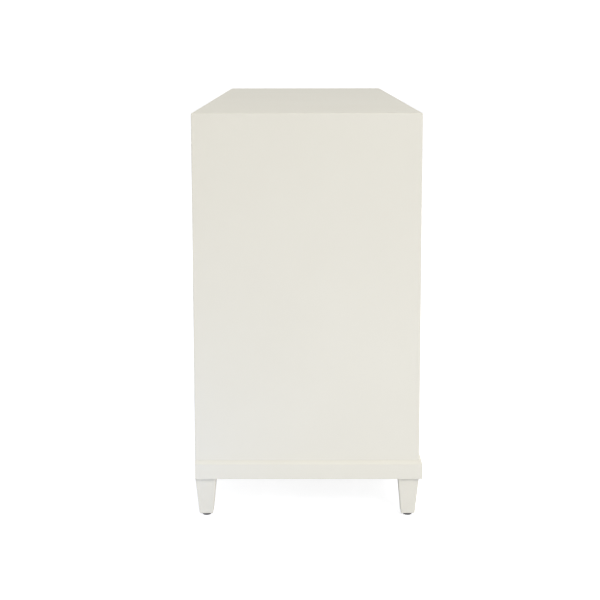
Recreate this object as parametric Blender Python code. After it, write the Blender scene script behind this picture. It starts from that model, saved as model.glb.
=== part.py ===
"""A wide painted dresser: a mitred case on a chamfered base frame and four tapered feet, with six
dovetailed drawers. Metres. +Z is up, the front faces -Y, and +X is to the right of someone who stands
in front of it. The origin is on the floor, under the middle of the box that holds the whole dresser."""

import math

import bmesh
import bpy
from mathutils import Vector

# The case
CASE_LENGTH = 1.524
CASE_DEPTH = 0.504
HEIGHT = 0.914
PANEL = 0.022
PARTITION = 0.022
BOTTOM_THICK = 0.019
BACK_THICK = 0.006
BACK_RECESS = 0.001
REBATE_LIP = 0.012
CASE_EASE = 0.002
HOUSING = 0.006
HOUSING_STOP = 0.012

# The loose spline in each mitred top corner
SPLINE_THICK = 0.004
SPLINE_WIDTH = 0.018
SPLINE_UP_MITRE = 0.011
SPLINE_STOP = 0.020

# The base frame
BASE_HEIGHT = 0.042
BASE_PROUD = 0.007
BASE_INNER = 0.022
BASE_CHAMFER = 0.007
BASE_EASE = 0.001

# The feet and their levelling glides
FOOT_HEIGHT = 0.086
FOOT_TOP = 0.047
FOOT_TIP = 0.031
FOOT_EASE = 0.0015
POST_SHOULDER = 0.0015
GLIDE_SHOW = 0.006
GLIDE_RADIUS = 0.010
GLIDE_PAD = 0.004
GLIDE_COLLAR_RADIUS = 0.0065
GLIDE_COLLAR = 0.0015
GLIDE_ROUND = 0.001
STEM_RADIUS = 0.004
STEM_LENGTH = 0.022
STEM_CLEARANCE = 0.0003
BORE_SPARE = 0.004

# The frames between the drawers, with their dust panels and closing stops
FRAME_THICK = 0.019
FRAME_RAIL = 0.060
FRAME_RUNNER = 0.050
DUST_THICK = 0.005
STOP_LENGTH = 0.030
STOP_DEPTH = 0.012
STOP_HEIGHT = 0.005
STOP_SPREAD = 0.400

# The drawers
ROW_NAMES = ("bottom", "middle", "top")
COLUMN_NAMES = ("left", "right")
FRONT_THICK = 0.020
FRONT_GAP = 0.0015
FRONT_RECESS = 0.001
FRONT_EASE = 0.001
SIDE_THICK = 0.012
DRAWER_BACK_THICK = 0.012
KICK_GAP = 0.004
BEHIND_DRAWER = 0.008
GROOVE_UP = 0.0095
GROOVE_DEPTH = 0.006
DRAWER_BOTTOM_THICK = 0.006

# Their dovetails
TAILS = 5
TAIL_LENGTH = 0.014
TAIL_SLOPE = 1 / 7
PIN = 0.008
HALF_PIN = 0.005

# Their pulls
PULL_REACH = 0.028
PULL_SPREAD = 0.128
PULL_RADIUS = 0.005
PULL_FOOT_RADIUS = 0.0075
PULL_FOOT = 0.0025
PULL_FLARE = 0.0025
PULL_BEND = 0.011

# The gap between pieces that seat on each other, and how far a cutter runs past what it cuts
SEAT = 0.0003
PAST = 0.010

# Facets
EASE_STEPS = 3
ROUND_STEPS = 24
BEND_STEPS = 6
PULL_SIDES_RESOLUTION = 4
SHARP_ANGLE = math.radians(35)

# Places that follow from the sizes
Y_BACK = (CASE_DEPTH - FRONT_RECESS + PULL_REACH) / 2
Y_FRONT = Y_BACK - CASE_DEPTH
Y_INNER_BACK = Y_BACK - BACK_RECESS - BACK_THICK - SEAT
Y_HOUSING = Y_FRONT + HOUSING_STOP
X_END = CASE_LENGTH / 2
X_INNER = X_END - PANEL
Z_FOOT = GLIDE_SHOW
Z_BASE = Z_FOOT + FOOT_HEIGHT
Z_CASE = Z_BASE + BASE_HEIGHT
Z_FLOOR = Z_CASE + BOTTOM_THICK
Z_CEILING = HEIGHT - PANEL
BAY_WIDTH = X_INNER - PARTITION / 2
BAY_CENTRE = (X_INNER + PARTITION / 2) / 2
OPENING = (Z_CEILING - Z_FLOOR - (len(ROW_NAMES) - 1) * FRAME_THICK) / len(ROW_NAMES)
Y_DRAWER = Y_FRONT + FRONT_RECESS
BOX_WIDTH = BAY_WIDTH - 2 * FRONT_GAP
BOX_DEPTH = Y_INNER_BACK - Y_DRAWER - BEHIND_DRAWER
BOX_TOP = OPENING - KICK_GAP
BACK_FOOT = GROOVE_UP + DRAWER_BOTTOM_THICK + SEAT


def material(name, colour, roughness, metallic=0.0):
    made = bpy.data.materials.new(name)
    made.use_nodes = True
    shader = made.node_tree.nodes["Principled BSDF"]
    shader.inputs["Base Color"].default_value = (*colour, 1.0)
    shader.inputs["Roughness"].default_value = roughness
    shader.inputs["Metallic"].default_value = metallic
    made.diffuse_color = (*colour, 1.0)
    return made


def clear_scene():
    for old in list(bpy.data.objects):
        bpy.data.objects.remove(old, do_unlink=True)


def written(shape):
    """Writes a bmesh to a new mesh."""
    mesh = bpy.data.meshes.new("shape")
    shape.to_mesh(mesh)
    shape.free()
    return mesh


def mesh_from(shape):
    """Writes a bmesh of closed solids to a new mesh, with their faces pointing out."""
    bmesh.ops.recalc_face_normals(shape, faces=shape.faces)
    return written(shape)


def loft(shape, first, last):
    """Adds the solid between two outlines with as many points each."""
    start = [shape.verts.new(point) for point in first]
    end = [shape.verts.new(point) for point in last]
    shape.faces.new(start)
    shape.faces.new(list(reversed(end)))
    for here in range(len(start)):
        after = (here + 1) % len(start)
        shape.faces.new((start[after], start[here], end[here], end[after]))


def prism(shape, axis, outline, low, high):
    """Adds an outline drawn across an axis, run from low to high along it.
    Its points are (y, z) across X, (x, z) across Y and (x, y) across Z."""
    place = "XYZ".index(axis)

    def at(along):
        return [Vector((*point[:place], along, *point[place:])) for point in outline]

    loft(shape, at(low), at(high))


def block(shape, low, high):
    corners = [(low[0], low[1]), (high[0], low[1]), (high[0], high[1]), (low[0], high[1])]
    prism(shape, "Z", corners, low[2], high[2])


def ease(shape, wanted, width):
    """Rounds the edges whose two ends both satisfy wanted(point, other point)."""
    edges = [edge for edge in shape.edges if wanted(*(end.co for end in edge.verts))]
    bmesh.ops.bevel(shape, geom=edges, offset=width, segments=EASE_STEPS, profile=0.5, affect="EDGES")


def shaped(operation, mesh, *others):
    """The mesh after a Boolean with each of the others in turn."""
    body = bpy.data.objects.new("body", mesh)
    bpy.context.scene.collection.objects.link(body)
    tools = []
    for other in others:
        tool = bpy.data.objects.new("tool", other)
        bpy.context.scene.collection.objects.link(tool)
        tools.append(tool)
        modifier = body.modifiers.new("shape", "BOOLEAN")
        modifier.operation = operation
        modifier.solver = "EXACT"
        modifier.object = tool
    evaluated = body.evaluated_get(bpy.context.evaluated_depsgraph_get())
    result = bpy.data.meshes.new_from_object(evaluated)
    for used in (body, *tools):
        bpy.data.objects.remove(used, do_unlink=True)
    return result


def cut(mesh, *cutters):
    return shaped("DIFFERENCE", mesh, *cutters)


def joined(mesh, *others):
    return shaped("UNION", mesh, *others)


def block_mesh(*spans):
    """A mesh of one box or more, each given by its low and high corners."""
    shape = bmesh.new()
    for low, high in spans:
        block(shape, low, high)
    return mesh_from(shape)


def prism_mesh(axis, *runs):
    """A mesh of one prism or more, each given by its outline and its two ends."""
    shape = bmesh.new()
    for outline, low, high in runs:
        prism(shape, axis, outline, low, high)
    return mesh_from(shape)


def add(name, mesh, finish, location=(0, 0, 0), parent=None):
    """Puts a piece in the scene. Pieces that share a mesh share its material too."""
    piece = bpy.data.objects.new(name, mesh)
    if not mesh.materials:
        mesh.materials.append(finish)
    bpy.context.scene.collection.objects.link(piece)
    piece.location = location
    piece.parent = parent
    return piece


def round_smooth(mesh):
    mesh.shade_smooth()
    mesh.set_sharp_from_angle(angle=SHARP_ANGLE)


def frame_heights():
    """The lower and upper face of each frame between two rows of drawers."""
    heights = []
    for row in range(1, len(ROW_NAMES)):
        low = Z_FLOOR + row * OPENING + (row - 1) * FRAME_THICK
        heights.append((low, low + FRAME_THICK))
    return heights


def spline_outline(side, thick, width):
    """The spline's section, square to the mitre, as (x, z). side is -1 at the left end, 1 at the right."""
    up_mitre = Vector((side, 1)).normalized()
    across = Vector((-side, 1)).normalized()
    centre = Vector((side * X_INNER, Z_CEILING)) + up_mitre * SPLINE_UP_MITRE
    return [
        tuple(centre + across * a * width / 2 + up_mitre * b * thick / 2)
        for a, b in ((-1, -1), (1, -1), (1, 1), (-1, 1))
    ]


def case_hoop():
    """The ends and the top in one, with their outer edges rounded and their housings cut."""
    shape = bmesh.new()
    outline = [
        (-X_END, Z_CASE),
        (-X_END, HEIGHT),
        (X_END, HEIGHT),
        (X_END, Z_CASE),
        (X_INNER, Z_CASE),
        (X_INNER, Z_CEILING),
        (-X_INNER, Z_CEILING),
        (-X_INNER, Z_CASE),
    ]
    prism(shape, "Y", outline, Y_FRONT, Y_BACK)

    def outer(a, b):
        middle = (a + b) / 2
        on_outside = max(abs(middle.x) - X_END, middle.z - HEIGHT) > -SEAT
        along_foot = max(a.z, b.z) < Z_CASE + SEAT
        return on_outside and not along_foot

    ease(shape, outer, CASE_EASE)
    rebate_x = X_END - REBATE_LIP
    rebate = block_mesh(
        ((-rebate_x, Y_INNER_BACK, Z_CASE - PAST), (rebate_x, Y_BACK + PAST, HEIGHT - REBATE_LIP))
    )
    housed = X_INNER + HOUSING
    for_frames = [
        ((-housed, Y_HOUSING, low - SEAT), (housed, Y_BACK + PAST, high + SEAT))
        for low, high in frame_heights()
    ]
    for_bottom = ((-housed, Y_HOUSING, Z_CASE - PAST), (housed, Y_BACK + PAST, Z_FLOOR + SEAT))
    housed = PARTITION / 2 + SEAT
    for_partition = (
        (-housed, Y_HOUSING, Z_CEILING - PAST),
        (housed, Y_BACK + PAST, Z_CEILING + HOUSING),
    )
    housings = block_mesh(*for_frames, for_bottom, for_partition)
    return cut(mesh_from(shape), rebate, housings)


def case_panels(finish):
    """Splits the hoop at its mitres into the top and the two ends, and grooves them for the splines."""
    hoop = case_hoop()
    half_gap = SEAT / math.sqrt(2)
    reach = 2 * PANEL
    above = prism_mesh(
        "Y",
        (
            [
                (-X_END + reach + half_gap, HEIGHT - reach),
                (-X_END - PANEL + half_gap, HEIGHT + PANEL),
                (X_END + PANEL - half_gap, HEIGHT + PANEL),
                (X_END - reach - half_gap, HEIGHT - reach),
            ],
            Y_FRONT - PAST,
            Y_BACK + PAST,
        ),
    )
    grooves = {}
    for side in (-1, 1):
        outline = spline_outline(side, SPLINE_THICK + 2 * SEAT, SPLINE_WIDTH + 2 * SEAT)
        ends = (Y_FRONT + SPLINE_STOP - SEAT, Y_BACK - SPLINE_STOP + SEAT)
        grooves[side] = prism_mesh("Y", (outline, *ends))
    top = shaped("INTERSECT", hoop, above)
    add("top_panel", cut(top, grooves[-1], grooves[1]), finish)
    for name, side in (("left_end_panel", -1), ("right_end_panel", 1)):
        beside = prism_mesh(
            "Y",
            (
                [
                    (side * (X_END + PANEL), Z_CASE - PANEL),
                    (side * (X_END - reach + half_gap), Z_CASE - PANEL),
                    (side * (X_END - reach + half_gap), HEIGHT - reach),
                    (side * (X_END + PANEL), HEIGHT + PANEL - half_gap),
                ],
                Y_FRONT - PAST,
                Y_BACK + PAST,
            ),
        )
        panel = shaped("INTERSECT", hoop, beside)
        add(name, cut(panel, grooves[side]), finish)


def mitre_splines(finish):
    for name, side in (("left_mitre_spline", -1), ("right_mitre_spline", 1)):
        outline = spline_outline(side, SPLINE_THICK, SPLINE_WIDTH)
        run = (outline, Y_FRONT + SPLINE_STOP, Y_BACK - SPLINE_STOP)
        add(name, prism_mesh("Y", run), finish)


def housed_outline(low, high):
    """A board between two faces, with tongues let into both behind its front edge, as (across, y)."""
    shoulder = Y_HOUSING + SEAT
    tongue = HOUSING - SEAT
    return [
        (low + SEAT, Y_FRONT),
        (high - SEAT, Y_FRONT),
        (high - SEAT, shoulder),
        (high + tongue, shoulder),
        (high + tongue, Y_INNER_BACK),
        (low - tongue, Y_INNER_BACK),
        (low - tongue, shoulder),
        (low + SEAT, shoulder),
    ]


def stop_blocks(bay_centre, floor):
    """The two blocks behind a drawer front that stop the drawer as it closes."""
    front = Y_DRAWER + FRONT_THICK + SEAT
    blocks = []
    for side in (-1, 1):
        middle = bay_centre + side * STOP_SPREAD / 2
        low = (middle - STOP_LENGTH / 2, front, floor - BOTTOM_THICK / 2)
        high = (middle + STOP_LENGTH / 2, front + STOP_DEPTH, floor + STOP_HEIGHT)
        blocks.append((low, high))
    return blocks


def bottom_panel(finish):
    board = prism_mesh("Z", (housed_outline(-X_INNER, X_INNER), Z_CASE, Z_FLOOR))
    housed = PARTITION / 2 + SEAT
    housing = block_mesh(
        ((-housed, Y_HOUSING, Z_FLOOR - HOUSING), (housed, Y_BACK + PAST, Z_FLOOR + PAST))
    )
    stops = block_mesh(*stop_blocks(-BAY_CENTRE, Z_FLOOR), *stop_blocks(BAY_CENTRE, Z_FLOOR))
    add("bottom_panel", joined(cut(board, housing), stops), finish)


def centre_partition(finish):
    outline = [(y, z) for z, y in housed_outline(Z_FLOOR, Z_CEILING)]
    board = prism_mesh("X", (outline, -PARTITION / 2, PARTITION / 2))
    housings = []
    for low, high in frame_heights():
        for side in (-1, 1):
            faces = sorted((side * (PARTITION / 2 - HOUSING), side * (PARTITION / 2 + PAST)))
            start = (faces[0], Y_HOUSING, low - SEAT)
            end = (faces[1], Y_INNER_BACK + PAST, high + SEAT)
            housings.append((start, end))
    add("centre_partition", cut(board, block_mesh(*housings)), finish)


def drawer_frames(finish):
    """The frames that the middle and top drawers run on, each with its dust panel."""
    for column, side in zip(COLUMN_NAMES, (-1, 1)):
        ends = sorted((side * PARTITION / 2, side * X_INNER))
        for below, (low, high) in zip(ROW_NAMES, frame_heights()):
            board = prism_mesh("Z", (housed_outline(*ends), low, high))
            start_x = ends[0] + FRAME_RUNNER
            end_x = ends[1] - FRAME_RUNNER
            start_y = Y_FRONT + FRAME_RAIL
            end_y = Y_INNER_BACK - FRAME_RAIL
            dust_low = (low + high - DUST_THICK) / 2
            pockets = block_mesh(
                ((start_x, start_y, low - PAST), (end_x, end_y, dust_low)),
                ((start_x, start_y, dust_low + DUST_THICK), (end_x, end_y, high + PAST)),
            )
            stops = block_mesh(*stop_blocks(side * BAY_CENTRE, high))
            add(f"{column}_frame_over_{below}", joined(cut(board, pockets), stops), finish)


def back_panel(finish):
    edge = X_END - REBATE_LIP - SEAT
    outside = Y_BACK - BACK_RECESS
    low = (-edge, outside - BACK_THICK, Z_CASE)
    high = (edge, outside, HEIGHT - REBATE_LIP - SEAT)
    add("back_panel", block_mesh((low, high)), finish)


def base_profile():
    """The base rail's section, as (distance out from the case's face, z)."""
    top = Z_CASE - SEAT
    return [
        (-BASE_INNER, Z_BASE),
        (BASE_PROUD - BASE_EASE, Z_BASE),
        (BASE_PROUD, Z_BASE + BASE_EASE),
        (BASE_PROUD, top - BASE_CHAMFER),
        (0, top),
        (-BASE_INNER, top),
    ]


def base_frame(finish):
    """The front and side rails meet in mitres, and the back rail stands between the side rails."""
    half_gap = SEAT / math.sqrt(2)
    profile = base_profile()
    front = bmesh.new()
    left_end = [(-(X_END + out) + half_gap, Y_FRONT - out, z) for out, z in profile]
    right_end = [(X_END + out - half_gap, Y_FRONT - out, z) for out, z in profile]
    loft(front, left_end, right_end)
    add("base_front_rail", mesh_from(front), finish)
    for name, side in (("base_left_rail", -1), ("base_right_rail", 1)):
        rail = bmesh.new()
        mitre = [(side * (X_END + out), Y_FRONT - out + half_gap, z) for out, z in profile]
        back = [(side * (X_END + out), Y_BACK, z) for out, z in profile]
        loft(rail, mitre, back)
        add(name, mesh_from(rail), finish)
    end = X_END - BASE_INNER - SEAT
    low = (-end, Y_BACK - BASE_INNER, Z_BASE)
    high = (end, Y_BACK, Z_CASE - SEAT)
    add("base_back_rail", block_mesh((low, high)), finish)


def foot_centres():
    """The middle of each foot, by name, with the sides that it stands at."""
    inset = FOOT_TOP / 2
    places = {}
    for row, y_side, y in (("front", -1, Y_FRONT + inset), ("back", 1, Y_BACK - inset)):
        for column, x_side in (("left", -1), ("right", 1)):
            places[f"{row}_{column}"] = (x_side * (X_END - inset), y, x_side, y_side)
    return places


def square(x, y, width, z):
    half = width / 2
    return [(x + a * half, y + b * half, z) for a, b in ((-1, -1), (1, -1), (1, 1), (-1, 1))]


def feet(finish):
    """Tapered on all four sides, with a post that stands inside the base frame's corner."""
    for name, (x, y, x_side, y_side) in foot_centres().items():
        top = Z_BASE - SEAT
        taper = bmesh.new()
        loft(taper, square(x, y, FOOT_TIP, Z_FOOT), square(x, y, FOOT_TOP, top))
        ease(taper, lambda a, b: min(a.z, b.z) < Z_FOOT + SEAT, FOOT_EASE)
        inner = FOOT_TOP / 2 - POST_SHOULDER
        outer = FOOT_TOP / 2 - BASE_INNER - SEAT
        post_x = sorted((x - x_side * inner, x + x_side * outer))
        post_y = sorted((y - y_side * inner, y + y_side * outer))
        post = block_mesh(
            (
                (post_x[0], post_y[0], top - POST_SHOULDER),
                (post_x[1], post_y[1], Z_CASE - SEAT),
            )
        )
        bore = bmesh.new()
        radius = STEM_RADIUS + STEM_CLEARANCE
        end = Z_FOOT + STEM_LENGTH + BORE_SPARE
        ring = turned_ring(radius)
        loft(
            bore,
            [(x + a, y + b, Z_FOOT - PAST) for a, b in ring],
            [(x + a, y + b, end) for a, b in ring],
        )
        add(f"{name}_foot", cut(joined(mesh_from(taper), post), mesh_from(bore)), finish)


def turned_ring(radius):
    turns = [2 * math.pi * step / ROUND_STEPS for step in range(ROUND_STEPS)]
    return [(radius * math.cos(turn), radius * math.sin(turn)) for turn in turns]


def turned(profile):
    """A mesh turned about Z from (radius, z) points, bottom to top, closed by flat ends."""
    shape = bmesh.new()
    rings = []
    for radius, z in profile:
        rings.append([shape.verts.new((x, y, z)) for x, y in turned_ring(radius)])
    shape.faces.new(rings[0])
    shape.faces.new(list(reversed(rings[-1])))
    for lower, upper in zip(rings, rings[1:]):
        for here in range(ROUND_STEPS):
            after = (here + 1) % ROUND_STEPS
            shape.faces.new((lower[here], lower[after], upper[after], upper[here]))
    return mesh_from(shape)


def glides(finish):
    """A round pad and collar on a threaded stem, turned to level the dresser."""
    profile = [
        (GLIDE_RADIUS - GLIDE_ROUND, 0),
        (GLIDE_RADIUS, GLIDE_ROUND),
        (GLIDE_RADIUS, GLIDE_PAD - GLIDE_ROUND),
        (GLIDE_RADIUS - GLIDE_ROUND, GLIDE_PAD),
        (GLIDE_COLLAR_RADIUS, GLIDE_PAD),
        (GLIDE_COLLAR_RADIUS, GLIDE_PAD + GLIDE_COLLAR),
        (STEM_RADIUS, GLIDE_PAD + GLIDE_COLLAR),
        (STEM_RADIUS, Z_FOOT + STEM_LENGTH),
    ]
    mesh = turned(profile)
    round_smooth(mesh)
    for name, (x, y, _, _) in foot_centres().items():
        add(f"{name}_glide", mesh, finish, (x, y, 0))


def tail_spans(low, high):
    """The low and high edge of each tail at its wide end, between two half pins."""
    start = low + HALF_PIN
    step = (high - HALF_PIN - start + PIN) / TAILS
    return [(start + step * tail, start + step * (tail + 1) - PIN) for tail in range(TAILS)]


def tail_outline(span, end, start, stop, grow=0.0):
    """One dovetail from y = start to y = stop, as (y, z). It is as wide as its span at y = end, and
    narrows towards the drawer's middle."""
    inward = 1 if end < BOX_DEPTH / 2 else -1
    points = []
    for y, low_first in ((start, True), (stop, False)):
        narrow = TAIL_SLOPE * inward * (y - end) - grow
        edges = [(y, span[0] + narrow), (y, span[1] - narrow)]
        points += edges if low_first else reversed(edges)
    return points


def front_tails():
    return tail_spans(FRONT_GAP, BOX_TOP)


def back_tails():
    return tail_spans(BACK_FOOT, BOX_TOP)


def drawer_side():
    """The left side of a drawer, with its outer face at x = 0: tails at both ends, and the groove."""
    front_end = FRONT_THICK - TAIL_LENGTH
    front_shoulder = FRONT_THICK + SEAT
    back_shoulder = BOX_DEPTH - DRAWER_BACK_THICK - SEAT
    outline = [(front_shoulder, SEAT)]
    outline += [(BOX_DEPTH, SEAT), (BOX_DEPTH, BACK_FOOT - SEAT), (back_shoulder, BACK_FOOT - SEAT)]
    for span in back_tails():
        lower, lower_end, upper_end, upper = corners_of_tail(span, BOX_DEPTH, back_shoulder)
        outline += [lower, lower_end, upper_end, upper]
    outline += [(back_shoulder, BOX_TOP), (front_shoulder, BOX_TOP)]
    for span in reversed(front_tails()):
        lower, lower_end, upper_end, upper = corners_of_tail(span, front_end, front_shoulder)
        outline += [upper, upper_end, lower_end, lower]
    board = prism_mesh("X", (outline, 0, SIDE_THICK))
    groove = block_mesh(
        (
            (SIDE_THICK - GROOVE_DEPTH, front_end - PAST, GROOVE_UP - SEAT),
            (SIDE_THICK + PAST, BOX_DEPTH + PAST, BACK_FOOT),
        )
    )
    return cut(board, groove)


def corners_of_tail(span, end, shoulder):
    """A tail's root and end corners: lower root, lower end, upper end, upper root."""
    lower_root, upper_root, upper_end, lower_end = tail_outline(span, end, shoulder, end)
    return lower_root, lower_end, upper_end, upper_root


def mirrored(mesh):
    """The same mesh for the other side of the drawer."""
    shape = bmesh.new()
    shape.from_mesh(mesh)
    for vertex in shape.verts:
        vertex.co.x = -vertex.co.x
    bmesh.ops.reverse_faces(shape, faces=shape.faces)
    return written(shape)


def sockets(spans, end, start, stop):
    """Cutters for the tails' sockets at both ends of a drawer's front or back."""
    half = BOX_WIDTH / 2
    into = half - SIDE_THICK - SEAT
    runs = []
    for span in spans:
        outline = tail_outline(span, end, start, stop, grow=SEAT)
        runs.append((outline, -half - PAST, -into))
        runs.append((outline, into, half + PAST))
    return prism_mesh("X", *runs)


def drawer_front():
    """The front, with half-blind sockets for the sides' tails and a groove for the bottom."""
    half = BOX_WIDTH / 2
    shape = bmesh.new()
    block(shape, (-half, 0, FRONT_GAP), (half, FRONT_THICK, OPENING - FRONT_GAP))
    ease(shape, lambda a, b: max(a.y, b.y) < SEAT, FRONT_EASE)
    front_end = FRONT_THICK - TAIL_LENGTH
    cutter = sockets(front_tails(), front_end, FRONT_THICK + PAST, front_end - SEAT)
    inside = half - SIDE_THICK
    groove = block_mesh(
        (
            (-inside, FRONT_THICK - GROOVE_DEPTH, GROOVE_UP - SEAT),
            (inside, FRONT_THICK + PAST, BACK_FOOT),
        )
    )
    return cut(mesh_from(shape), cutter, groove)


def drawer_back():
    """The back stands on the bottom panel, and its pins pass between the sides' tails."""
    half = BOX_WIDTH / 2
    start = BOX_DEPTH - DRAWER_BACK_THICK
    board = block_mesh(((-half, start, BACK_FOOT), (half, BOX_DEPTH, BOX_TOP)))
    return cut(board, sockets(back_tails(), BOX_DEPTH, start - PAST, BOX_DEPTH + PAST))


def drawer_bottom():
    edge = BOX_WIDTH / 2 - SIDE_THICK + GROOVE_DEPTH - SEAT
    low = (-edge, FRONT_THICK - GROOVE_DEPTH + SEAT, GROOVE_UP)
    high = (edge, BOX_DEPTH, GROOVE_UP + DRAWER_BOTTOM_THICK)
    return block_mesh((low, high))


def pull_path():
    """Half of the pull's centre line, from its foot on the front to the middle of its bar, as (x, y,
    radius): out along the leg, round the bend and along the bar."""
    x_leg = PULL_SPREAD / 2
    y_bar = PULL_RADIUS - PULL_REACH
    path = [
        (x_leg, -SEAT, PULL_FOOT_RADIUS),
        (x_leg, -PULL_FOOT, PULL_FOOT_RADIUS),
        (x_leg, -PULL_FOOT - PULL_FLARE, PULL_RADIUS),
    ]
    for step in range(BEND_STEPS + 1):
        turn = math.pi / 2 * step / BEND_STEPS
        x = x_leg - PULL_BEND * (1 - math.cos(turn))
        y = y_bar + PULL_BEND * (1 - math.sin(turn))
        path.append((x, y, PULL_RADIUS))
    return path


def drawer_pull():
    """A round bar bent to a D, with flared feet."""
    half = pull_path()
    path = half + [(-x, y, radius) for x, y, radius in reversed(half)]
    curve = bpy.data.curves.new("pull", "CURVE")
    curve.dimensions = "3D"
    curve.bevel_depth = PULL_RADIUS
    curve.bevel_resolution = PULL_SIDES_RESOLUTION
    curve.use_fill_caps = True
    spline = curve.splines.new("POLY")
    spline.points.add(len(path) - 1)
    for point, (x, y, radius) in zip(spline.points, path):
        point.co = (x, y, OPENING / 2, 1)
        point.radius = radius / PULL_RADIUS
    source = bpy.data.objects.new("pull", curve)
    bpy.context.scene.collection.objects.link(source)
    evaluated = source.evaluated_get(bpy.context.evaluated_depsgraph_get())
    mesh = bpy.data.meshes.new_from_object(evaluated)
    bpy.data.objects.remove(source, do_unlink=True)
    mesh.materials.clear()
    shape = bmesh.new()
    shape.from_mesh(mesh)
    bmesh.ops.remove_doubles(shape, verts=shape.verts, dist=SEAT / 10)
    mesh = mesh_from(shape)
    round_smooth(mesh)
    return mesh


def drawers(paint, wood, ply, metal):
    """Six drawers, each under an empty at the middle of its front's face, on its slide's axis."""
    side = drawer_side()
    half = BOX_WIDTH / 2
    pieces = {
        "front": (drawer_front(), paint, 0),
        "left_side": (side, wood, -half),
        "right_side": (mirrored(side), wood, half),
        "back": (drawer_back(), wood, 0),
        "bottom": (drawer_bottom(), ply, 0),
        "pull": (drawer_pull(), metal, 0),
    }
    for row, row_name in enumerate(ROW_NAMES):
        floor = Z_FLOOR + row * (OPENING + FRAME_THICK)
        for column, x_side in zip(COLUMN_NAMES, (-1, 1)):
            name = f"{row_name}_{column}_drawer"
            axis = bpy.data.objects.new(name, None)
            bpy.context.scene.collection.objects.link(axis)
            axis.location = (x_side * BAY_CENTRE, Y_DRAWER, floor)
            for piece, (mesh, finish, x) in pieces.items():
                add(f"{name}_{piece}", mesh, finish, (x, 0, 0), axis)


def main():
    clear_scene()
    paint = material("white_paint", (0.80, 0.78, 0.70), 0.35)
    wood = material("pale_hardwood", (0.62, 0.46, 0.29), 0.6)
    ply = material("birch_plywood", (0.68, 0.55, 0.38), 0.6)
    board = material("painted_backing_board", (0.74, 0.72, 0.66), 0.6)
    metal = material("satin_nickel", (0.62, 0.60, 0.56), 0.3, 1.0)
    pad = material("dark_grey_nylon", (0.09, 0.09, 0.09), 0.5)
    case_panels(paint)
    mitre_splines(ply)
    bottom_panel(paint)
    centre_partition(paint)
    drawer_frames(wood)
    back_panel(board)
    base_frame(paint)
    feet(paint)
    glides(pad)
    drawers(paint, wood, ply, metal)


main()
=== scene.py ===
"""The dresser's looks: a satin painted case with no seams, bare wood drawer boxes, nickel pulls, nylon
glides and the small fasteners. Metres, in the frame's own axes: +Z up, the front faces -Y, and the camera
looks along +X at the left end."""

import math

import bmesh
import bpy
from mathutils import Matrix, Vector

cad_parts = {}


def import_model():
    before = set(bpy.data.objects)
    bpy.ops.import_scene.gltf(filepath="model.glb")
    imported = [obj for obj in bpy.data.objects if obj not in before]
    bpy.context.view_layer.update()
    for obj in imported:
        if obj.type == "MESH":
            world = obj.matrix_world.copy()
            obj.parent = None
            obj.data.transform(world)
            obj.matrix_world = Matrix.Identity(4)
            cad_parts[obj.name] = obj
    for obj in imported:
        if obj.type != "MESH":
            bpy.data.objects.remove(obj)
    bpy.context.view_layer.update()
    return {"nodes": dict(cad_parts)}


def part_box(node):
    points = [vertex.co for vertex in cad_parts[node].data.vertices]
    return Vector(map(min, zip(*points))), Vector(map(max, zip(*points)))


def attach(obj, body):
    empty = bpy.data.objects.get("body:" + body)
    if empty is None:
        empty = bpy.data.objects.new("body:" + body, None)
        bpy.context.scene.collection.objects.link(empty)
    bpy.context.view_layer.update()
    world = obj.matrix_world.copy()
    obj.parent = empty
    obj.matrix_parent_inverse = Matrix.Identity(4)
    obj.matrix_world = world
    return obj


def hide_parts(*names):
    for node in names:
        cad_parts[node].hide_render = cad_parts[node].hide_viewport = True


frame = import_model()

# Sizes that the frame's boxes don't give. An EASE is the radius of a softened edge.
SEAT = 0.0003  # the gap between pieces that touch, and the tolerance when faces are told apart
CUT_PAST = 0.022  # how far a cutter reaches past the faces that it opens

# Case
PANEL = 0.022
FRAME_THICK = 0.019
HOUSING = 0.006
HOUSING_STOP = 0.012  # how far behind the front edge the housings stop
CASE_EASE = 0.002
INNER_EASE = 0.0005

# Base and feet
BASE_PROUD = 0.007
BASE_CHAMFER = 0.007
BASE_INNER = 0.022
BASE_EASE = 0.001
CHAMFER_EASE = 0.0006
FOOT_TOP = 0.047
FOOT_TIP = 0.031
FOOT_EASE = 0.0022

# Where paint ends on the drawer fronts and on the frames
DRAWER_FRONT = 0.020
FRONT_LAP = 0.006
PAINT_BORDER = 0.001
FRAME_PAINT = HOUSING_STOP / 3
PAINT_WAVER = 0.0003
PAINT_FADE = 0.0002

# Pulls
PULL_SPREAD = 0.128
PULL_RADIUS = 0.005
PULL_BEND = 0.011
PULL_FOOT_RADIUS = 0.0075
PULL_FOOT = 0.0025
PULL_FLARE = 0.004
FLARE_STEPS = 8
BEND_STEPS = 16

# Glides
PAD_RADIUS = 0.010
PAD = 0.004
PAD_DISH = 0.0012
PAD_SIDES = 64
COLLAR_RADIUS = 0.0065
COLLAR = 0.0015
STEM_RADIUS = 0.004
STEM_SIDES = 24
THREAD_PITCH = 0.00125
THREAD_DEPTH = 0.0006
THREAD_LEVELS = 8  # rings of points in one turn of the thread

# Screws and nails
SCREW_RADIUS = 0.004
SCREW_HEIGHT = 0.0022
SCREW_RIM = 0.35 * SCREW_HEIGHT
DOME_STEPS = 6
RECESS_ARM = 0.55 * SCREW_RADIUS
RECESS_SLOT = 0.11 * SCREW_RADIUS
RECESS_FLOOR = 0.4 * SCREW_HEIGHT
NAIL_RADIUS = 0.0024
NAIL_HEIGHT = 0.0005
NAIL_PROFILE = ((1.0, 0.0), (1.0, 0.5), (0.85, 1.0))  # shares of the head's radius and height
NAIL_SIDES = 20
NAIL_SPACING = 0.11
NAIL_INSET = 0.009
ROUND_SIDES = 32

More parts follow.
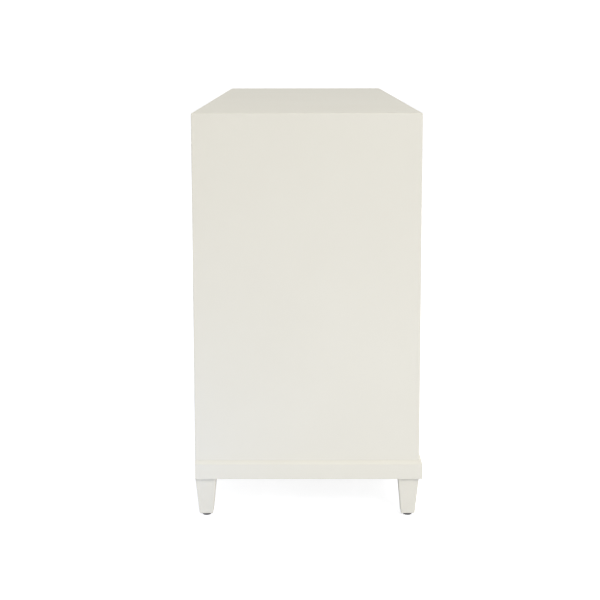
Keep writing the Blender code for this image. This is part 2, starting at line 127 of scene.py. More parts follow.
ROWS = ("bottom", "middle", "top")
COLUMNS = ("left", "right")
DRAWERS = [f"{row}_{column}_drawer" for row in ROWS for column in COLUMNS]
CORNERS = [f"{row}_{column}" for row in ("front", "back") for column in COLUMNS]

# Colours, linear
PAINT = (0.804, 0.783, 0.699)
PAINT_THIN = (0.792, 0.770, 0.684)
PAINT_CONSTANTS = {"Specular IOR Level": 0.3}  # shader inputs that stay the same all over
BACKING = (0.745, 0.725, 0.665)
HARDWOOD = (0.72, 0.565, 0.385)
HARDWOOD_DARK = (0.42, 0.275, 0.15)
BIRCH = (0.76, 0.63, 0.455)
BIRCH_DARK = (0.50, 0.365, 0.22)
PLY_EDGE = (0.40, 0.27, 0.15)
NICKEL = (0.56, 0.54, 0.505)
ZINC = (0.60, 0.61, 0.62)
NYLON = (0.100, 0.100, 0.103)
WHITE = (1, 1, 1)

# Wood
RING = 0.006  # a year's growth in plain sawn hardwood
PITH = 0.045  # how far the middle of the trunk lies from the board
BIRCH_RING = 0.024
BIRCH_PITH = 0.16
PLY = 0.0012

NOISE_RANGE = (0.3, 0.7)  # most of a noise texture's values lie between these

# The camera, fitted to the photograph
CAMERA_PLACE = (-3.3963, 0.0217, 1.0600)
CAMERA_TURN = math.radians(0.151)
CAMERA_PITCH = math.radians(-7.232)
CAMERA_ROLL = math.radians(-0.075)
CAMERA_SHIFT = -0.168
FOCAL_PIXELS = 1213.9
IMAGE_PIXELS = 600
SENSOR = 36.0

# Light
AMBIENT = 0.465
WHITE_MARGIN = 0.1
FLOOR_COLOUR = (0.79, 0.80, 0.845)
FLOOR_GLOW = 0.67
FLOOR_SIZE = 40.0

# Lamps: name, place, the point that it faces, width and height, power in watts, colour
LAMPS = (
    ("key", (-7.09, -3.38, 6.31), (-0.4, 0, 0.5), (4.2, 4.2), 430, (1.0, 0.980, 0.935)),
    ("front_fill", (2.6, -4.4, 1.1), (0, 0, 0.45), (2.0, 2.0), 74, WHITE),
    ("right_fill", (4.6, -0.6, 0.5), (0.76, 0, 0.45), (2.4, 0.8), 6.5, WHITE),
    ("back_fill", (2.8, 4.4, 1.45), (0, 0, 0.45), (2.0, 1.2), 100, WHITE),
    ("low_card", (-1.75, -0.15, 0.07), (-0.76, 0.05, 0.10), (1.3, 0.10), 1.5, (0.70, 0.745, 0.87)),
    ("left_card", (-1.15, 0.50, 0.10), (-0.77, 0.20, 0.14), (0.3, 0.12), 0.22, (0.25, 0.45, 1.0)),
)


def node(tree, kind, inputs, **settings):
    """A shader node. Inputs are given by name or place, as a value or as the socket that feeds them."""
    made = tree.nodes.new("ShaderNode" + kind)
    for setting, value in settings.items():
        setattr(made, setting, value)
    for key, value in inputs.items():
        socket = made.inputs[key]
        if isinstance(value, bpy.types.NodeSocket):
            tree.links.new(value, socket)
        else:
            socket.default_value = value
    return made


def maths(tree, operation, *values, clamp=False):
    """One Math node on one to three values."""
    inputs = dict(enumerate(values))
    return node(tree, "Math", inputs, operation=operation, use_clamp=clamp).outputs[0]


def mixed(tree, share, first, second):
    """A colour between two colours, through the Mix node's colour sockets."""
    inputs = {0: share}
    for place, colour in ((6, first), (7, second)):
        inputs[place] = (*colour, 1) if isinstance(colour, tuple) else colour
    return node(tree, "Mix", inputs, data_type="RGBA").outputs[2]


def mixed_value(tree, share, first, second):
    """A value between two values, through the Mix node's value sockets."""
    return node(tree, "Mix", {0: share, 2: first, 3: second}, data_type="FLOAT").outputs[0]


def noise(tree, where, scale, detail=2.0, roughness=0.5):
    """Scale is in waves per metre."""
    inputs = {"Vector": where, "Scale": scale, "Detail": detail, "Roughness": roughness}
    return node(tree, "TexNoise", inputs).outputs["Fac"]


def stretched(tree, where, scale, turn=(0, 0, 0), shift=(0, 0, 0)):
    """A place that is scaled, turned and moved, so that a texture comes out stretched."""
    inputs = {"Vector": where, "Scale": scale, "Rotation": turn, "Location": shift}
    return node(tree, "Mapping", inputs).outputs[0]


def between(tree, value, low, high, to_low=0.0, to_high=1.0):
    """Turns the values from low to high into values from to_low to to_high."""
    inputs = {"Value": value, "From Min": low, "From Max": high, "To Min": to_low, "To Max": to_high}
    return node(tree, "MapRange", inputs).outputs[0]


def levelled(tree, value, to_low=0.0, to_high=1.0):
    """Turns a noise's usual values into values from to_low to to_high."""
    return between(tree, value, *NOISE_RANGE, to_low, to_high)


def object_place(tree):
    """A point's place in metres on the piece, so that a texture moves with it."""
    return node(tree, "TexCoord", {}).outputs["Object"]


def one_of(tree, vector, axis):
    """One of a vector's three numbers."""
    return node(tree, "SeparateXYZ", {0: vector}).outputs[axis]


def facing(tree, axis):
    """How far a surface faces along an axis, either way: 0 to 1."""
    return maths(tree, "ABSOLUTE", one_of(tree, node(tree, "TexCoord", {}).outputs["Normal"], axis))


def toned(colour, factor):
    """A colour made darker, or lighter with a factor above 1."""
    return tuple(factor * part for part in colour)


def surface(name, look, metallic=0.0, **constants):
    """A material from a look: a function that gives a tree's colour, roughness and height in metres."""
    made = bpy.data.materials.new(name)
    made.use_nodes = True
    tree = made.node_tree
    tree.nodes.clear()
    colour, roughness, height = look(tree)
    bump = node(tree, "Bump", {"Height": height, "Strength": 1.0, "Distance": 1.0})
    inputs = {"Base Color": colour, "Roughness": roughness, "Normal": bump.outputs[0], "Metallic": metallic}
    inputs.update(constants)
    shader = node(tree, "BsdfPrincipled", inputs)
    node(tree, "OutputMaterial", {"Surface": shader.outputs[0]})
    return made


def paint_look(tree):
    """Sprayed satin paint: a faint orange peel, a slow drift in thickness and in sheen."""
    where = object_place(tree)
    drift = noise(tree, where, 2.3, detail=3.0)
    colour = mixed(tree, between(tree, drift, 0.35, 0.65), PAINT_THIN, PAINT)
    sheen = noise(tree, where, 11.0, detail=2.0)
    roughness = levelled(tree, sheen, 0.57, 0.59)
    peel = noise(tree, where, 420.0, detail=1.5)
    dust = noise(tree, where, 2300.0, detail=0.0)
    height = maths(tree, "MULTIPLY_ADD", peel, 3e-5, maths(tree, "MULTIPLY", dust, 2e-6))
    return colour, roughness, height


def backing_look(tree):
    """Thin board with one rolled coat of flat paint over a faint fibre texture."""
    where = object_place(tree)
    cloudy = noise(tree, stretched(tree, where, (3.0, 1.0, 5.0)), 2.0, detail=5.0, roughness=0.6)
    fibre = noise(tree, stretched(tree, where, (160.0, 1.0, 420.0)), 1.0, detail=3.0)
    tone = maths(tree, "MULTIPLY_ADD", fibre, 0.35, maths(tree, "MULTIPLY", cloudy, 0.65))
    colour = mixed(tree, levelled(tree, tone), toned(BACKING, 0.97), toned(BACKING, 1.02))
    roughness = levelled(tree, cloudy, 0.62, 0.72)
    height = maths(tree, "MULTIPLY", fibre, 2.5e-5)
    return colour, roughness, height


def wood_look(grain, seed, light=HARDWOOD, dark=HARDWOOD_DARK, ring=RING, pith=PITH):
    """Plain sawn hardwood. grain is the board's long axis; ring is the width of a year's growth, and pith
    how far the middle of the trunk lies from the board, which sets how the rings bend. Each seed takes its
    board from another place in the trunk. Sawn ends, which cut across the grain, are darker."""
    turn = {"X": (0, -math.pi / 2, 0), "Y": (math.pi / 2, 0, 0), "Z": (0, 0, 0)}[grain]

    def look(tree):
        coordinates = node(tree, "TexCoord", {})
        where = stretched(tree, coordinates.outputs["Object"], (1, 1, 1), turn)
        shift = (pith + 0.013 * (seed % 5), pith - 0.017 * (seed % 7), 0.37 * seed)
        place = stretched(tree, where, (1, 1, 0.10), shift=shift)
        wander = node(tree, "TexNoise", {"Vector": place, "Scale": 5.0, "Detail": 3.0}).outputs["Color"]
        bent = node(tree, "VectorMath", {0: wander, 1: (0.07, 0.07, 0.0), 2: place}, operation="MULTIPLY_ADD")
        x, y = node(tree, "SeparateXYZ", {0: bent.outputs[0]}).outputs[:2]
        square_x = maths(tree, "MULTIPLY", x, x)
        radius = maths(tree, "SQRT", maths(tree, "MULTIPLY_ADD", y, y, square_x))
        year = maths(tree, "FRACT", maths(tree, "DIVIDE", radius, ring))
        late = maths(tree, "POWER", year, 2.5)
        closing = between(tree, year, 0.90, 1.0, 1.0, 0.0)
        rings = maths(tree, "MULTIPLY", late, closing)
        streaks = levelled(tree, noise(tree, stretched(tree, where, (190.0, 190.0, 4.0)), 1.0, detail=3.0))
        fibre = levelled(tree, noise(tree, stretched(tree, where, (900.0, 900.0, 14.0)), 1.0, detail=2.0))
        pores = noise(tree, stretched(tree, where, (2600.0, 2600.0, 60.0)), 1.0, detail=0.0)
        open_pores = between(tree, pores, 0.64, 0.74)
        patch = noise(tree, stretched(tree, where, (7.0, 7.0, 1.0)), 1.0, detail=3.0)
        share = maths(tree, "MULTIPLY_ADD", rings, 0.42, maths(tree, "MULTIPLY", fibre, 0.20))
        share = maths(tree, "MULTIPLY_ADD", streaks, 0.30, share)
        share = maths(tree, "MULTIPLY_ADD", open_pores, 0.22, share)
        share = maths(tree, "ADD", share, levelled(tree, patch, -0.16, 0.16))
        turned_normal = {"Vector": coordinates.outputs["Normal"], "Rotation": turn}
        normal = node(tree, "Mapping", turned_normal, vector_type="VECTOR")
        lengthwise = one_of(tree, normal.outputs[0], 2)
        sawn = between(tree, maths(tree, "ABSOLUTE", lengthwise), 0.6, 0.8)
        share = maths(tree, "MULTIPLY_ADD", sawn, 0.55, share, clamp=True)
        colour = mixed(tree, share, light, dark)
        roughness = between(tree, share, 0.0, 1.0, 0.50, 0.66)
        grooves = maths(tree, "MULTIPLY", open_pores, -4e-5)
        height = maths(tree, "MULTIPLY_ADD", fibre, 1.6e-5, grooves)
        return colour, roughness, height

    return look


def plywood_look(grain, seed):
    """Rotary cut birch on the faces, and the plies in stripes along the edges."""
    face = wood_look(grain, seed, BIRCH, BIRCH_DARK, BIRCH_RING, BIRCH_PITH)

    def look(tree):
        colour, roughness, height = face(tree)
        height_inside = one_of(tree, object_place(tree), 2)
        edge = between(tree, facing(tree, 2), 0.4, 0.6, 1.0, 0.0)
        cross_ply = maths(tree, "PINGPONG", maths(tree, "DIVIDE", height_inside, PLY), 1.0)
        stripe = maths(tree, "MULTIPLY", between(tree, cross_ply, 0.35, 0.65), edge)
        striped = mixed(tree, maths(tree, "MULTIPLY", stripe, 0.75), colour, PLY_EDGE)
        return striped, roughness, height

    return look


def part_painted(wood, ends, elsewhere):
    """Bare wood behind a painted front edge. The paint reaches back to the plane y = ends on faces that
    look sideways, and to y = elsewhere on the others, and its border wavers a little."""

    def look(tree):
        bare_colour, bare_roughness, bare_height = wood(tree)
        colour, roughness, height = paint_look(tree)
        where = object_place(tree)
        depth = one_of(tree, where, 1)
        is_end = between(tree, facing(tree, 0), 0.4, 0.6)
        limit = mixed_value(tree, is_end, elsewhere, ends)
        waver = levelled(tree, noise(tree, where, 90.0), -PAINT_WAVER, PAINT_WAVER)
        past = maths(tree, "SUBTRACT", maths(tree, "ADD", depth, waver), limit)
        bare = between(tree, past, -PAINT_FADE, PAINT_FADE)
        return (
            mixed(tree, bare, colour, bare_colour),
            mixed_value(tree, bare, roughness, bare_roughness),
            mixed_value(tree, bare, height, bare_height),
        )

    return look


def nickel_look(tree):
    """Satin nickel plate, with a fine grain brushed along the bar."""
    where = object_place(tree)
    brushed = noise(tree, stretched(tree, where, (60.0, 2600.0, 2600.0)), 1.0, detail=2.0)
    cloudy = noise(tree, where, 60.0, detail=2.0)
    colour = mixed(tree, between(tree, brushed, 0.25, 0.75), toned(NICKEL, 0.90), NICKEL)
    satin = levelled(tree, cloudy, 0.23, 0.30)
    roughness = maths(tree, "ADD", satin, maths(tree, "MULTIPLY", brushed, 0.06))
    height = maths(tree, "MULTIPLY", brushed, 2.5e-6)
    return colour, roughness, height


def zinc_look(tree):
    """Zinc plate with a fine spangle."""
    spangle = noise(tree, object_place(tree), 700.0, detail=2.0)
    colour = mixed(tree, levelled(tree, spangle), toned(ZINC, 0.78), ZINC)
    return colour, levelled(tree, spangle, 0.30, 0.42), maths(tree, "MULTIPLY", spangle, 4e-6)


def nylon_look(tree):
    """Moulded nylon with the fine grain of its mould."""
    grain = noise(tree, object_place(tree), 1500.0, detail=2.0)
    colour = mixed(tree, levelled(tree, grain), NYLON, toned(NYLON, 1.35))
    return colour, levelled(tree, grain, 0.46, 0.58), maths(tree, "MULTIPLY", grain, 1.2e-5)


def mesh_from(shape):
    """Writes a bmesh of closed solids to a new mesh, with its faces pointing out."""
    bmesh.ops.recalc_face_normals(shape, faces=shape.faces)
    mesh = bpy.data.meshes.new("shape")
    shape.to_mesh(mesh)
    shape.free()
    return mesh


def loft(shape, *rings):
    """Adds the solid that runs through rings of as many points each, with both ends closed."""
    made = [[shape.verts.new(point) for point in ring] for ring in rings]
    shape.faces.new(made[0])
    shape.faces.new(list(reversed(made[-1])))
    for first, last in zip(made, made[1:]):
        for here in range(len(first)):
            after = (here + 1) % len(first)
            shape.faces.new((first[after], first[here], last[here], last[after]))
    return made


def block(shape, low, high):
    """Adds a box between two corners."""
    corners = [(low[0], low[1]), (high[0], low[1]), (high[0], high[1]), (low[0], high[1])]
    loft(shape, *([(x, y, z) for x, y in corners] for z in (low[2], high[2])))


def ease(shape, edges, width, steps):
    """Rounds edges over."""
    bmesh.ops.bevel(shape, geom=edges, offset=width, segments=steps, profile=0.5, affect="EDGES")


def cut(mesh, cutter):
    """The mesh with the other mesh cut out of it."""
    body = bpy.data.objects.new("body", mesh)
    tool = bpy.data.objects.new("tool", cutter)
    for helper in (body, tool):
        bpy.context.scene.collection.objects.link(helper)
    modifier = body.modifiers.new("cut", "BOOLEAN")
    modifier.operation = "DIFFERENCE"
    modifier.solver = "EXACT"
    modifier.object = tool
    evaluated = body.evaluated_get(bpy.context.evaluated_depsgraph_get())
    result = bpy.data.meshes.new_from_object(evaluated)
    for helper in (body, tool):
        bpy.data.objects.remove(helper, do_unlink=True)
    return result


def add(name, mesh, finish, body, replaced=(), place=(0, 0, 0), sharp=32):
    """Puts a piece in the scene: smooth over its rounded edges and flat on its large faces. Edges sharper
    than the angle sharp, in degrees, stay sharp."""
    mesh.materials.clear()
    mesh.materials.append(finish)
    mesh.shade_smooth()
    mesh.set_sharp_from_angle(angle=math.radians(sharp))
    piece = bpy.data.objects.new(name, mesh)
    bpy.context.scene.collection.objects.link(piece)
    piece.location = place
    even = piece.modifiers.new("even_normals", "WEIGHTED_NORMAL")
    even.keep_sharp = True
    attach(piece, body)
    if replaced:
        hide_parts(*replaced)


def rebate_cutter(y_back, z_low):
    """The rebate in which the back panel lies, open downwards and to the back."""
    low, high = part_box("back_panel")
    x_lip = high.x + SEAT
    shape = bmesh.new()
    block(shape, (-x_lip, low.y - SEAT, z_low - CUT_PAST), (x_lip, y_back + CUT_PAST, high.z + SEAT))
    return mesh_from(shape)


def housing_cutter(x_inner, y_front, y_back, z_low, z_ceiling):
    """The stopped housings for the frames, the bottom panel and the top of the partition."""
    x_housed, y_stop, y_past = x_inner + HOUSING, y_front + HOUSING_STOP, y_back + CUT_PAST
    shape = bmesh.new()
    for name in ("left_frame_over_bottom", "left_frame_over_middle"):
        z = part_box(name)[0].z
        block(shape, (-x_housed, y_stop, z - SEAT), (x_housed, y_past, z + FRAME_THICK + SEAT))
    z_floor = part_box("bottom_left_drawer_left_side")[0].z
    block(shape, (-x_housed, y_stop, z_low - CUT_PAST), (x_housed, y_past, z_floor))
    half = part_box("centre_partition")[1].x + SEAT
    block(shape, (-half, y_stop, z_ceiling - CUT_PAST), (half, y_past, z_ceiling + HOUSING))
    return mesh_from(shape)


def case_shell(finish):
    """The top and the two ends as the paint leaves them, with no seam at the mitres."""
    low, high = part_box("left_end_panel")
    x_end, y_front, y_back = -low.x, low.y, high.y
    z_low, z_top = low.z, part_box("top_panel")[1].z
    x_inner, z_ceiling = x_end - PANEL, z_top - PANEL
    outline = [(-x_end, z_low), (-x_end, z_top), (x_end, z_top), (x_end, z_low)]
    outline += [(x_inner, z_low), (x_inner, z_ceiling), (-x_inner, z_ceiling), (-x_inner, z_low)]
    shape = bmesh.new()
    loft(shape, *([(x, y, z) for x, z in outline] for y in (y_front, y_back)))
    outer, inner = [], []
    for edge in shape.edges:
        middle = (edge.verts[0].co + edge.verts[1].co) / 2
        if max(end.co.z for end in edge.verts) < z_low + SEAT:
            continue
        on_outside = max(abs(middle.x) - x_end, middle.z - z_top) > -SEAT
        if on_outside:
            outer.append(edge)
        elif middle.y < y_front + SEAT and (abs(middle.x) < x_inner + SEAT or middle.z < z_ceiling):
            inner.append(edge)
    ease(shape, outer, CASE_EASE, steps=6)
    ease(shape, [edge for edge in inner if edge.is_valid], INNER_EASE, steps=3)
    mesh = cut(mesh_from(shape), rebate_cutter(y_back, z_low))
    mesh = cut(mesh, housing_cutter(x_inner, y_front, y_back, z_low, z_ceiling))
    replaced = ("top_panel", "left_end_panel", "right_end_panel")
    add("painted_case", mesh, finish, "case", replaced)


def arc(centre, radius, start, end, steps):
    """Points of an arc, with both ends."""
    turns = [start + (end - start) * step / steps for step in range(steps + 1)]
    return [(centre[0] + radius * math.cos(turn), centre[1] + radius * math.sin(turn)) for turn in turns]


def base_moulding(finish):
    """The front and side rails run round the case in one, mitred at the corners, with eased edges."""
    low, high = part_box("base_left_rail")
    x_end = -low.x - BASE_PROUD
    y_front, y_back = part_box("base_front_rail")[0].y + BASE_PROUD, high.y
    z_low, z_top = low.z, high.z
    eighth = math.pi / 4
    profile = [(-BASE_INNER, z_low)]
    profile += arc((BASE_PROUD - BASE_EASE, z_low + BASE_EASE), BASE_EASE, -2 * eighth, 0, steps=4)
    shoulder = CHAMFER_EASE * math.tan(eighth / 2)
    z_shoulder = z_top - BASE_CHAMFER
    profile += arc((BASE_PROUD - CHAMFER_EASE, z_shoulder - shoulder), CHAMFER_EASE, 0, eighth, steps=3)
    profile += [(0, z_top), (-BASE_INNER, z_top)]
    shape = bmesh.new()
    rings = []
    for x_side, y, y_side in ((-1, y_back, 0), (-1, y_front, -1), (1, y_front, -1), (1, y_back, 0)):
        rings.append([(x_side * (x_end + out), y + y_side * out, z) for out, z in profile])
    made = loft(shape, *rings)
    corners = []
    for ring in made[1:3]:
        outside = {vertex for vertex, (out, _) in zip(ring, profile) if out > 0}
        corners += [edge for edge in shape.edges if set(edge.verts) <= outside]
    ease(shape, corners, CHAMFER_EASE, steps=2)
    replaced = ("base_front_rail", "base_left_rail", "base_right_rail")
    add("painted_base", mesh_from(shape), finish, "case", replaced)


def square(x, y, width, z):
    """Corners of a level square about a point."""
    half = width / 2
    return [(x + a * half, y + b * half, z) for a, b in ((-1, -1), (1, -1), (1, 1), (-1, 1))]


def feet(finish):
    """Tapered legs with softened edges, each with a hole for its glide's stem."""
    z_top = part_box("base_front_rail")[0].z - SEAT
    for corner in CORNERS:
        low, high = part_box(f"{corner}_glide")
        x, y = (low.x + high.x) / 2, (low.y + high.y) / 2
        z_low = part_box(f"{corner}_foot")[0].z
        shape = bmesh.new()
        loft(shape, square(x, y, FOOT_TIP, z_low), square(x, y, FOOT_TOP, z_top))
        edges = [edge for edge in shape.edges if min(end.co.z for end in edge.verts) < z_low + SEAT]
        ease(shape, edges, FOOT_EASE, steps=5)
        bore = bmesh.new()
        rim = circle(STEM_RADIUS + SEAT, ROUND_SIDES)
        loft(bore, *([(x + a, y + b, z) for a, b in rim] for z in (z_low - PAD, high.z + PAD)))
        mesh = cut(mesh_from(shape), mesh_from(bore))
        add(f"painted_{corner}_foot", mesh, finish, "case", (f"{corner}_foot",))


def circle(radius, sides):
    """Corners of a many-sided circle."""
    turns = [2 * math.pi * side / sides for side in range(sides)]
    return [(radius * math.cos(turn), radius * math.sin(turn)) for turn in turns]


def turned(profile, sides):
    """A mesh turned about Z from (radius, z) points, closed by flat ends."""
    shape = bmesh.new()
    loft(shape, *([(x, y, z) for x, y in circle(radius, sides)] for radius, z in profile))
    return mesh_from(shape)


def threaded_stem(z_low, z_high):
    """A stem with a rolled thread: its radius follows a wave that climbs one pitch in each turn, and the
    thread fades out in the first and the last turn."""
    shape = bmesh.new()
    rings = []
    count = int((z_high - z_low) / THREAD_PITCH * THREAD_LEVELS)
    for level in range(count + 1):
        z = z_low + (z_high - z_low) * level / count
        fade = min(1.0, level / THREAD_LEVELS, (count - level) / THREAD_LEVELS)
        ring = []
        for side in range(STEM_SIDES):
            turn = 2 * math.pi * side / STEM_SIDES
            wave = 0.5 - 0.5 * math.cos(2 * math.pi * z / THREAD_PITCH - turn)
            radius = STEM_RADIUS - THREAD_DEPTH * (wave * fade + (1 - fade))
            ring.append((radius * math.cos(turn), radius * math.sin(turn), z))
        rings.append(ring)
    loft(shape, *rings)
    return mesh_from(shape)


def glides(nylon, zinc):
    """A dished nylon pad with a collar, moulded round a threaded steel stem."""
    quarter = math.pi / 2
    profile = arc((PAD_RADIUS - PAD_DISH, PAD_DISH), PAD_DISH, -quarter, 0, steps=5)
    profile += arc((PAD_RADIUS - PAD_DISH, PAD - PAD_DISH), PAD_DISH, 0, quarter, steps=5)
    profile += [(COLLAR_RADIUS + SEAT, PAD), (COLLAR_RADIUS, PAD + SEAT)]
    profile += arc((COLLAR_RADIUS - SEAT, PAD + COLLAR - SEAT), SEAT, 0, quarter, steps=3)
    pad = turned(profile, PAD_SIDES)
    for corner in CORNERS:
        name = f"{corner}_glide"
        low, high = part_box(name)
        place = ((low.x + high.x) / 2, (low.y + high.y) / 2, 0)
        add(f"{name}_pad", pad, nylon, name, (name,), place)
        stem = threaded_stem(PAD, high.z)
        add(f"{name}_stem", stem, zinc, name, (), place, sharp=60)


def tube(path, sides):
    """A mesh swept along (x, y, radius) points in a level plane, closed by flat ends."""
    shape = bmesh.new()
    rings = []
    for here, (x, y, radius) in enumerate(path):
        before, after = path[max(here - 1, 0)], path[min(here + 1, len(path) - 1)]
        along = Vector((after[0] - before[0], after[1] - before[1], 0)).normalized()
        side = along.cross(Vector((0, 0, 1)))
        centre = Vector((x, y, 0))
        rings.append([centre + side * a + Vector((0, 0, b)) for a, b in circle(radius, sides)])
    loft(shape, *rings)
    return mesh_from(shape)


def pull_mesh(reach, start):
    """A round bar bent to a D. Its feet swell to a small flange against the drawer's front."""
    x_leg = PULL_SPREAD / 2
    flange = PULL_FOOT_RADIUS - SEAT
    half = [(x_leg, start, flange), (x_leg, start - SEAT, PULL_FOOT_RADIUS)]
    half += [(x_leg, SEAT - PULL_FOOT, PULL_FOOT_RADIUS), (x_leg, -PULL_FOOT, flange)]
    for step in range(1, FLARE_STEPS + 1):
        share = step / FLARE_STEPS
        swell = (flange - SEAT - PULL_RADIUS) * (1 - math.sin(share * math.pi / 2))
        half.append((x_leg, -PULL_FOOT - PULL_FLARE * share, PULL_RADIUS + swell))
    for step in range(BEND_STEPS + 1):
        turn = math.pi / 2 * step / BEND_STEPS
        x = x_leg - PULL_BEND * (1 - math.cos(turn))
        y = PULL_RADIUS - reach + PULL_BEND * (1 - math.sin(turn))
        half.append((x, y, PULL_RADIUS))
    return tube(half + [(-x, y, radius) for x, y, radius in reversed(half)], ROUND_SIDES)


def screw_head_mesh(places):
    """Pan heads with a cross recess, seen from inside a drawer, at (x, z) places. Their faces look to +Y."""
    dome = [(SCREW_RADIUS, 0), (SCREW_RADIUS, SCREW_RIM)]
    for step in range(1, DOME_STEPS):
        turn = math.pi / 2 * step / DOME_STEPS
        rise = (SCREW_HEIGHT - SCREW_RIM) * math.sin(turn)
        dome.append((SCREW_RADIUS * math.cos(turn), SCREW_RIM + rise))
    head = turned(dome, ROUND_SIDES)
    for x_arm, y_arm in ((RECESS_ARM, RECESS_SLOT), (RECESS_SLOT, RECESS_ARM)):
        recess = bmesh.new()
        block(recess, (-x_arm, -y_arm, RECESS_FLOOR), (x_arm, y_arm, 2 * SCREW_HEIGHT))
        head = cut(head, mesh_from(recess))
    shape = bmesh.new()
    for x, z in places:
        shape.from_mesh(head)
        fresh = shape.verts[-len(head.vertices):]
        turn = Matrix.Translation((x, 0, z)) @ Matrix.Rotation(-math.pi / 2, 4, "X")
        bmesh.ops.transform(shape, matrix=turn, verts=fresh)
    return mesh_from(shape)


def pulls(nickel, zinc):
    """A bar pull on each drawer's front, and its two screws inside."""
    for drawer in DRAWERS:
        low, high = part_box(f"{drawer}_pull")
        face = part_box(f"{drawer}_front")[0].y
        x, z = (low.x + high.x) / 2, (low.z + high.z) / 2
        mesh = pull_mesh(face - low.y, high.y - face)
        replaced = (f"{drawer}_pull",)
        add(f"{drawer}_bar_pull", mesh, nickel, drawer, replaced, (x, face, z), sharp=50)
        heads = screw_head_mesh([(-PULL_SPREAD / 2, 0), (PULL_SPREAD / 2, 0)])
        inside = (x, face + DRAWER_FRONT, z)
        add(f"{drawer}_pull_screws", heads, zinc, drawer, (), inside)


def spaced(low, high, spacing):
    """Places from low to high, evenly spaced, about spacing apart."""
    count = round((high - low) / spacing)
    return [low + (high - low) * step / count for step in range(count + 1)]


def back_nails(zinc):
    """Flat nail heads round the back panel's edge, down the partition and along the frames."""
    low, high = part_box("back_panel")
    x_end, z_low, z_high = high.x - NAIL_INSET, low.z + NAIL_INSET, high.z - NAIL_INSET
    places = [(x, z) for x in spaced(-x_end, x_end, NAIL_SPACING) for z in (z_low, z_high)]
    heights = spaced(z_low, z_high, NAIL_SPACING)[1:-1]
    places += [(x, z) for x in (-x_end, 0, x_end) for z in heights]
    for name in ("left_frame_over_bottom", "left_frame_over_middle"):
        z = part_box(name)[0].z + FRAME_THICK / 2
        places += [(x, z) for x in spaced(-x_end, x_end, 2 * NAIL_SPACING)[1:-1]]
    shape = bmesh.new()
    for x, z in places:
        rings = []
        for radius, out in NAIL_PROFILE:
            ring = circle(NAIL_RADIUS * radius, NAIL_SIDES)
            rings.append([(x + a, high.y + NAIL_HEIGHT * out, z + b) for a, b in ring])
        loft(shape, *rings)
    add("back_panel_nails", mesh_from(shape), zinc, "case")


def dress_nodes():
    """The CAD pieces whose shape is right get the finish of what they are made of."""
    paint = bpy.data.materials["satin_paint"]
    y_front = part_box("left_end_panel")[0].y
    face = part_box("top_left_drawer_front")[0].y
    finishes = {
        "bottom_panel": paint,
        "centre_partition": paint,
        "base_back_rail": paint,
        "back_panel": surface("rolled_backing_board", backing_look),
    }
    for seed, name in enumerate(("left_mitre_spline", "right_mitre_spline")):
        finishes[name] = surface(f"{name}_plywood", plywood_look("Y", seed))
    edge = y_front + FRAME_PAINT
    frames = [f"{column}_frame_over_{row}" for row in ROWS[:2] for column in COLUMNS]
    for seed, name in enumerate(frames):
        wood = wood_look("X", seed + 3)
        finishes[name] = surface(f"{name}_wood", part_painted(wood, edge, edge))
    for seed, drawer in enumerate(DRAWERS):
        front = part_painted(wood_look("X", seed + 1), face + FRONT_LAP, face + DRAWER_FRONT - PAINT_BORDER)
        finishes[f"{drawer}_front"] = surface(f"{drawer}_front_finish", front, **PAINT_CONSTANTS)
        finishes[f"{drawer}_left_side"] = surface(f"{drawer}_left_side_wood", wood_look("Y", seed + 11))
        finishes[f"{drawer}_right_side"] = surface(f"{drawer}_right_side_wood", wood_look("Y", seed + 19))
        finishes[f"{drawer}_back"] = surface(f"{drawer}_back_wood", wood_look("X", seed + 27))
        finishes[f"{drawer}_bottom"] = surface(f"{drawer}_bottom_plywood", plywood_look("X", seed + 5))
    for name, finish in finishes.items():
        for place in frame["nodes"][name].material_slots:
            place.material = finish


def light_path(tree):
    """1 for rays from the camera, from glossy surfaces and through glass, and 0 for the light itself."""
    path = node(tree, "LightPath", {})
    seen = maths(tree, "MAXIMUM", path.outputs["Is Camera Ray"], path.outputs["Is Glossy Ray"])
    return maths(tree, "MAXIMUM", seen, path.outputs["Is Transmission Ray"])


def world():
    """An even studio: dim to the pieces, white to the camera."""
    made = bpy.data.worlds.new("studio")
    bpy.context.scene.world = made
    made.use_nodes = True
    tree = made.node_tree
    tree.nodes.clear()
    strength = mixed_value(tree, light_path(tree), AMBIENT, 1.0)
    # a little more than white to the camera, so that the noise filter's dips at the frame's border don't show
    direct = node(tree, "LightPath", {}).outputs["Is Camera Ray"]
    strength = maths(tree, "MULTIPLY_ADD", direct, WHITE_MARGIN, strength)
    back = node(tree, "Background", {"Color": (*WHITE, 1), "Strength": strength})
    node(tree, "OutputWorld", {"Surface": back.outputs[0]})


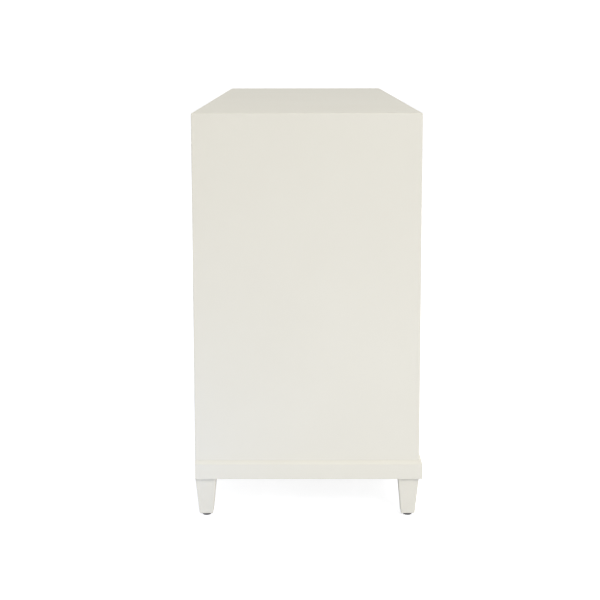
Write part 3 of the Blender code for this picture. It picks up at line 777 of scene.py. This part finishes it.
def floor():
    """A pale floor that looks white where it is lit, and still takes the dresser's shadow."""
    shape = bmesh.new()
    shape.faces.new([shape.verts.new(corner) for corner in square(0, 0, FLOOR_SIZE, 0)])
    mesh = bpy.data.meshes.new("floor")
    shape.to_mesh(mesh)
    shape.free()
    made = bpy.data.materials.new("pale_floor")
    made.use_nodes = True
    tree = made.node_tree
    tree.nodes.clear()
    cloudy = noise(tree, object_place(tree), 0.8, detail=2.0)
    tone = mixed(tree, levelled(tree, cloudy), FLOOR_COLOUR, toned(FLOOR_COLOUR, 0.98))
    diffuse = node(tree, "BsdfDiffuse", {"Color": tone})
    glow = maths(tree, "MULTIPLY", light_path(tree), FLOOR_GLOW)
    white = node(tree, "Emission", {"Color": (*WHITE, 1), "Strength": glow})
    both = node(tree, "AddShader", {0: diffuse.outputs[0], 1: white.outputs[0]})
    node(tree, "OutputMaterial", {"Surface": both.outputs[0]})
    mesh.materials.append(made)
    piece = bpy.data.objects.new("floor", mesh)
    bpy.context.scene.collection.objects.link(piece)


def lamp(name, place, target, size, power, colour):
    """A soft box that faces a point, and that the camera doesn't see."""
    light = bpy.data.lights.new(name, "AREA")
    light.shape = "RECTANGLE"
    light.size, light.size_y = size
    light.energy = power
    light.color = colour
    made = bpy.data.objects.new(name, light)
    bpy.context.scene.collection.objects.link(made)
    made.location = place
    made.rotation_euler = (Vector(target) - Vector(place)).to_track_quat("-Z", "Y").to_euler()
    made.visible_camera = False


def camera():
    """The camera's pitch and roll are about its own axes, and its turn about the vertical."""
    data = bpy.data.cameras.new("photograph")
    data.sensor_width = SENSOR
    data.lens = SENSOR * FOCAL_PIXELS / IMAGE_PIXELS
    data.shift_y = CAMERA_SHIFT
    made = bpy.data.objects.new("photograph", data)
    bpy.context.scene.collection.objects.link(made)
    quarter = math.pi / 2
    turn = Matrix.Rotation(CAMERA_TURN - quarter, 4, "Z")
    tilt = Matrix.Rotation(quarter + CAMERA_PITCH, 4, "X")
    roll = Matrix.Rotation(CAMERA_ROLL, 4, "Z")
    made.matrix_world = Matrix.Translation(CAMERA_PLACE) @ turn @ tilt @ roll
    bpy.context.scene.camera = made


def main():
    paint = surface("satin_paint", paint_look, **PAINT_CONSTANTS)
    zinc = surface("zinc_plate", zinc_look, metallic=1.0)
    nickel = surface("satin_nickel_plate", nickel_look, metallic=1.0)
    nylon = surface("moulded_nylon", nylon_look)
    case_shell(paint)
    base_moulding(paint)
    feet(paint)
    glides(nylon, zinc)
    pulls(nickel, zinc)
    back_nails(zinc)
    dress_nodes()
    world()
    floor()
    for values in LAMPS:
        lamp(*values)
    camera()
    bpy.context.scene.view_settings.view_transform = "Standard"


main()
